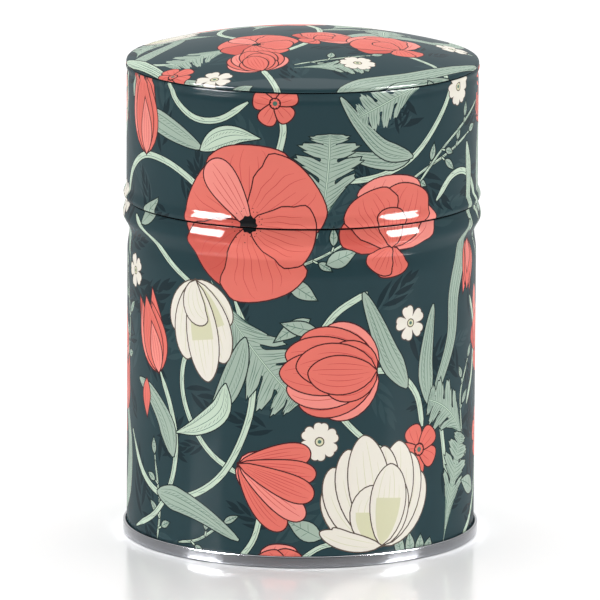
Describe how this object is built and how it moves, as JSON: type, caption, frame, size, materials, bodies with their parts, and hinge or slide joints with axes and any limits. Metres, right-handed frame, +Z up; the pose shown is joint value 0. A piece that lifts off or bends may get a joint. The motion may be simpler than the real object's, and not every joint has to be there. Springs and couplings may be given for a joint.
{
  "type": "tea caddy",
  "caption": "Round printed tinplate tea caddy with a tall domed slip-over lid, an inner plug lid with a knob, and a seamed base.",
  "frame": {"origin": "centre of the ring that the caddy stands on", "axes": "+Z up along the tin's axis, -Y towards the side that the print faces"},
  "size_m": [0.0856, 0.0856, 0.121],
  "materials": {
    "printed_tinplate": "gloss varnish over an all-over flower print on a dark teal ground",
    "bare_tinplate": "bright tinplate, lightly brushed",
    "turned_aluminium": "turned and polished"
  },
  "bodies": {
    "caddy": {"body_wall": "printed_tinplate", "base_plate": "bare_tinplate"},
    "lid": {"lid_wall": "printed_tinplate", "lid_crown": "printed_tinplate"},
    "inner_lid": {"inner_lid_pan": "bare_tinplate", "inner_lid_knob": "turned_aluminium", "knob_rivet": "turned_aluminium"}
  },
  "joints": [
    {"name": "lid_lift", "type": "slide", "parent": "caddy", "child": "lid", "axis": [0, 0, 1], "range_m": [0, 0.06]},
    {"name": "inner_lid_lift", "type": "slide", "parent": "caddy", "child": "inner_lid", "axis": [0, 0, 1], "range_m": [0, 0.009]}
  ]
}
